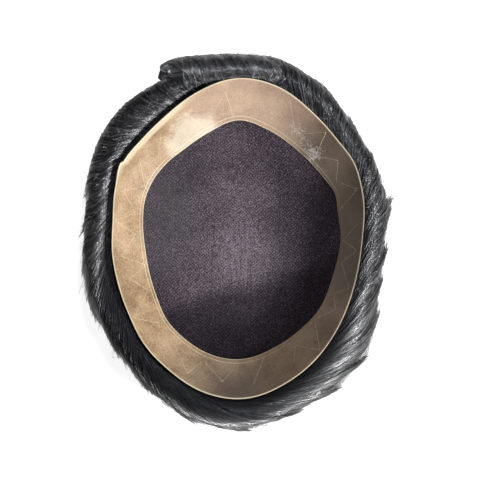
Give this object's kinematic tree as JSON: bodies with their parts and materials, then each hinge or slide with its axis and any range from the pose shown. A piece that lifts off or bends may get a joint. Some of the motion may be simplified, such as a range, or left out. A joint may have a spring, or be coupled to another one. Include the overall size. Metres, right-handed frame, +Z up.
{
  "type": "toupee hairpiece",
  "caption": "Short black toupee lying on its hair, hollow upwards: a dark net centre inside a thin tan skin band, with the hair swept round it.",
  "frame": {"origin": "on the surface it lies on, under the middle of the net, at the mount rest_face", "axes": "+Z up, out of the hollow for the head; +Y towards the front of the hairpiece, where the curl is; +X to the right in the picture"},
  "size_m": [0.2172, 0.2649, 0.0699],
  "materials": {
    "net": "fine dark net",
    "skin": "thin translucent skin, satin",
    "hair": "off-black hair, glossy"
  },
  "bodies": {
    "root": {"net_cap": "net", "skin_band": "skin", "crown_hair": "hair", "rim_hair": "hair", "front_curl": "hair"}
  },
  "joints": []
}
